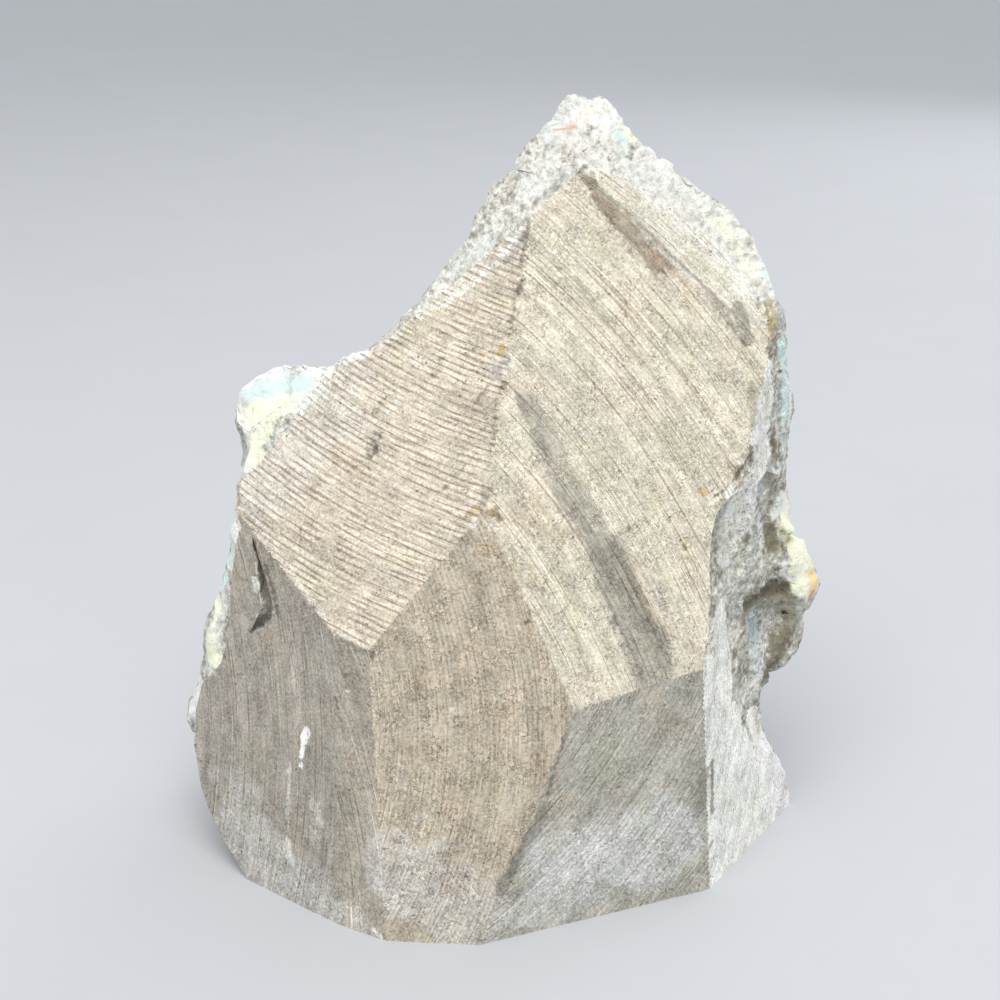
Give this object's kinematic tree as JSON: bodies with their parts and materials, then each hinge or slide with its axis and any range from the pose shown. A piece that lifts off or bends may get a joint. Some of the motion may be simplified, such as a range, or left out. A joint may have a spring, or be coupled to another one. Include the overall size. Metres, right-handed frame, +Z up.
{
  "type": "amethyst geode",
  "caption": "Cut-base amethyst geode: a free-standing shard of dark basalt with a saw-faceted back, a flat sawn foot and a hollow lined with crystals in front.",
  "frame": {"origin": "middle of the sawn foot, on the surface it stands on", "axes": "+Z up, +Y out of the crystal-lined display side, -Y out of the sawn back, +X to the right as seen from the back"},
  "size_m": [0.1156, 0.067, 0.1274],
  "materials": {
    "basalt": "sawn, matt, with a rough natural rind",
    "amethyst": "glossy, clear violet crystal faces"
  },
  "bodies": {
    "root": {"basalt_stone": "basalt", "amethyst_crystals": "amethyst"}
  },
  "joints": []
}
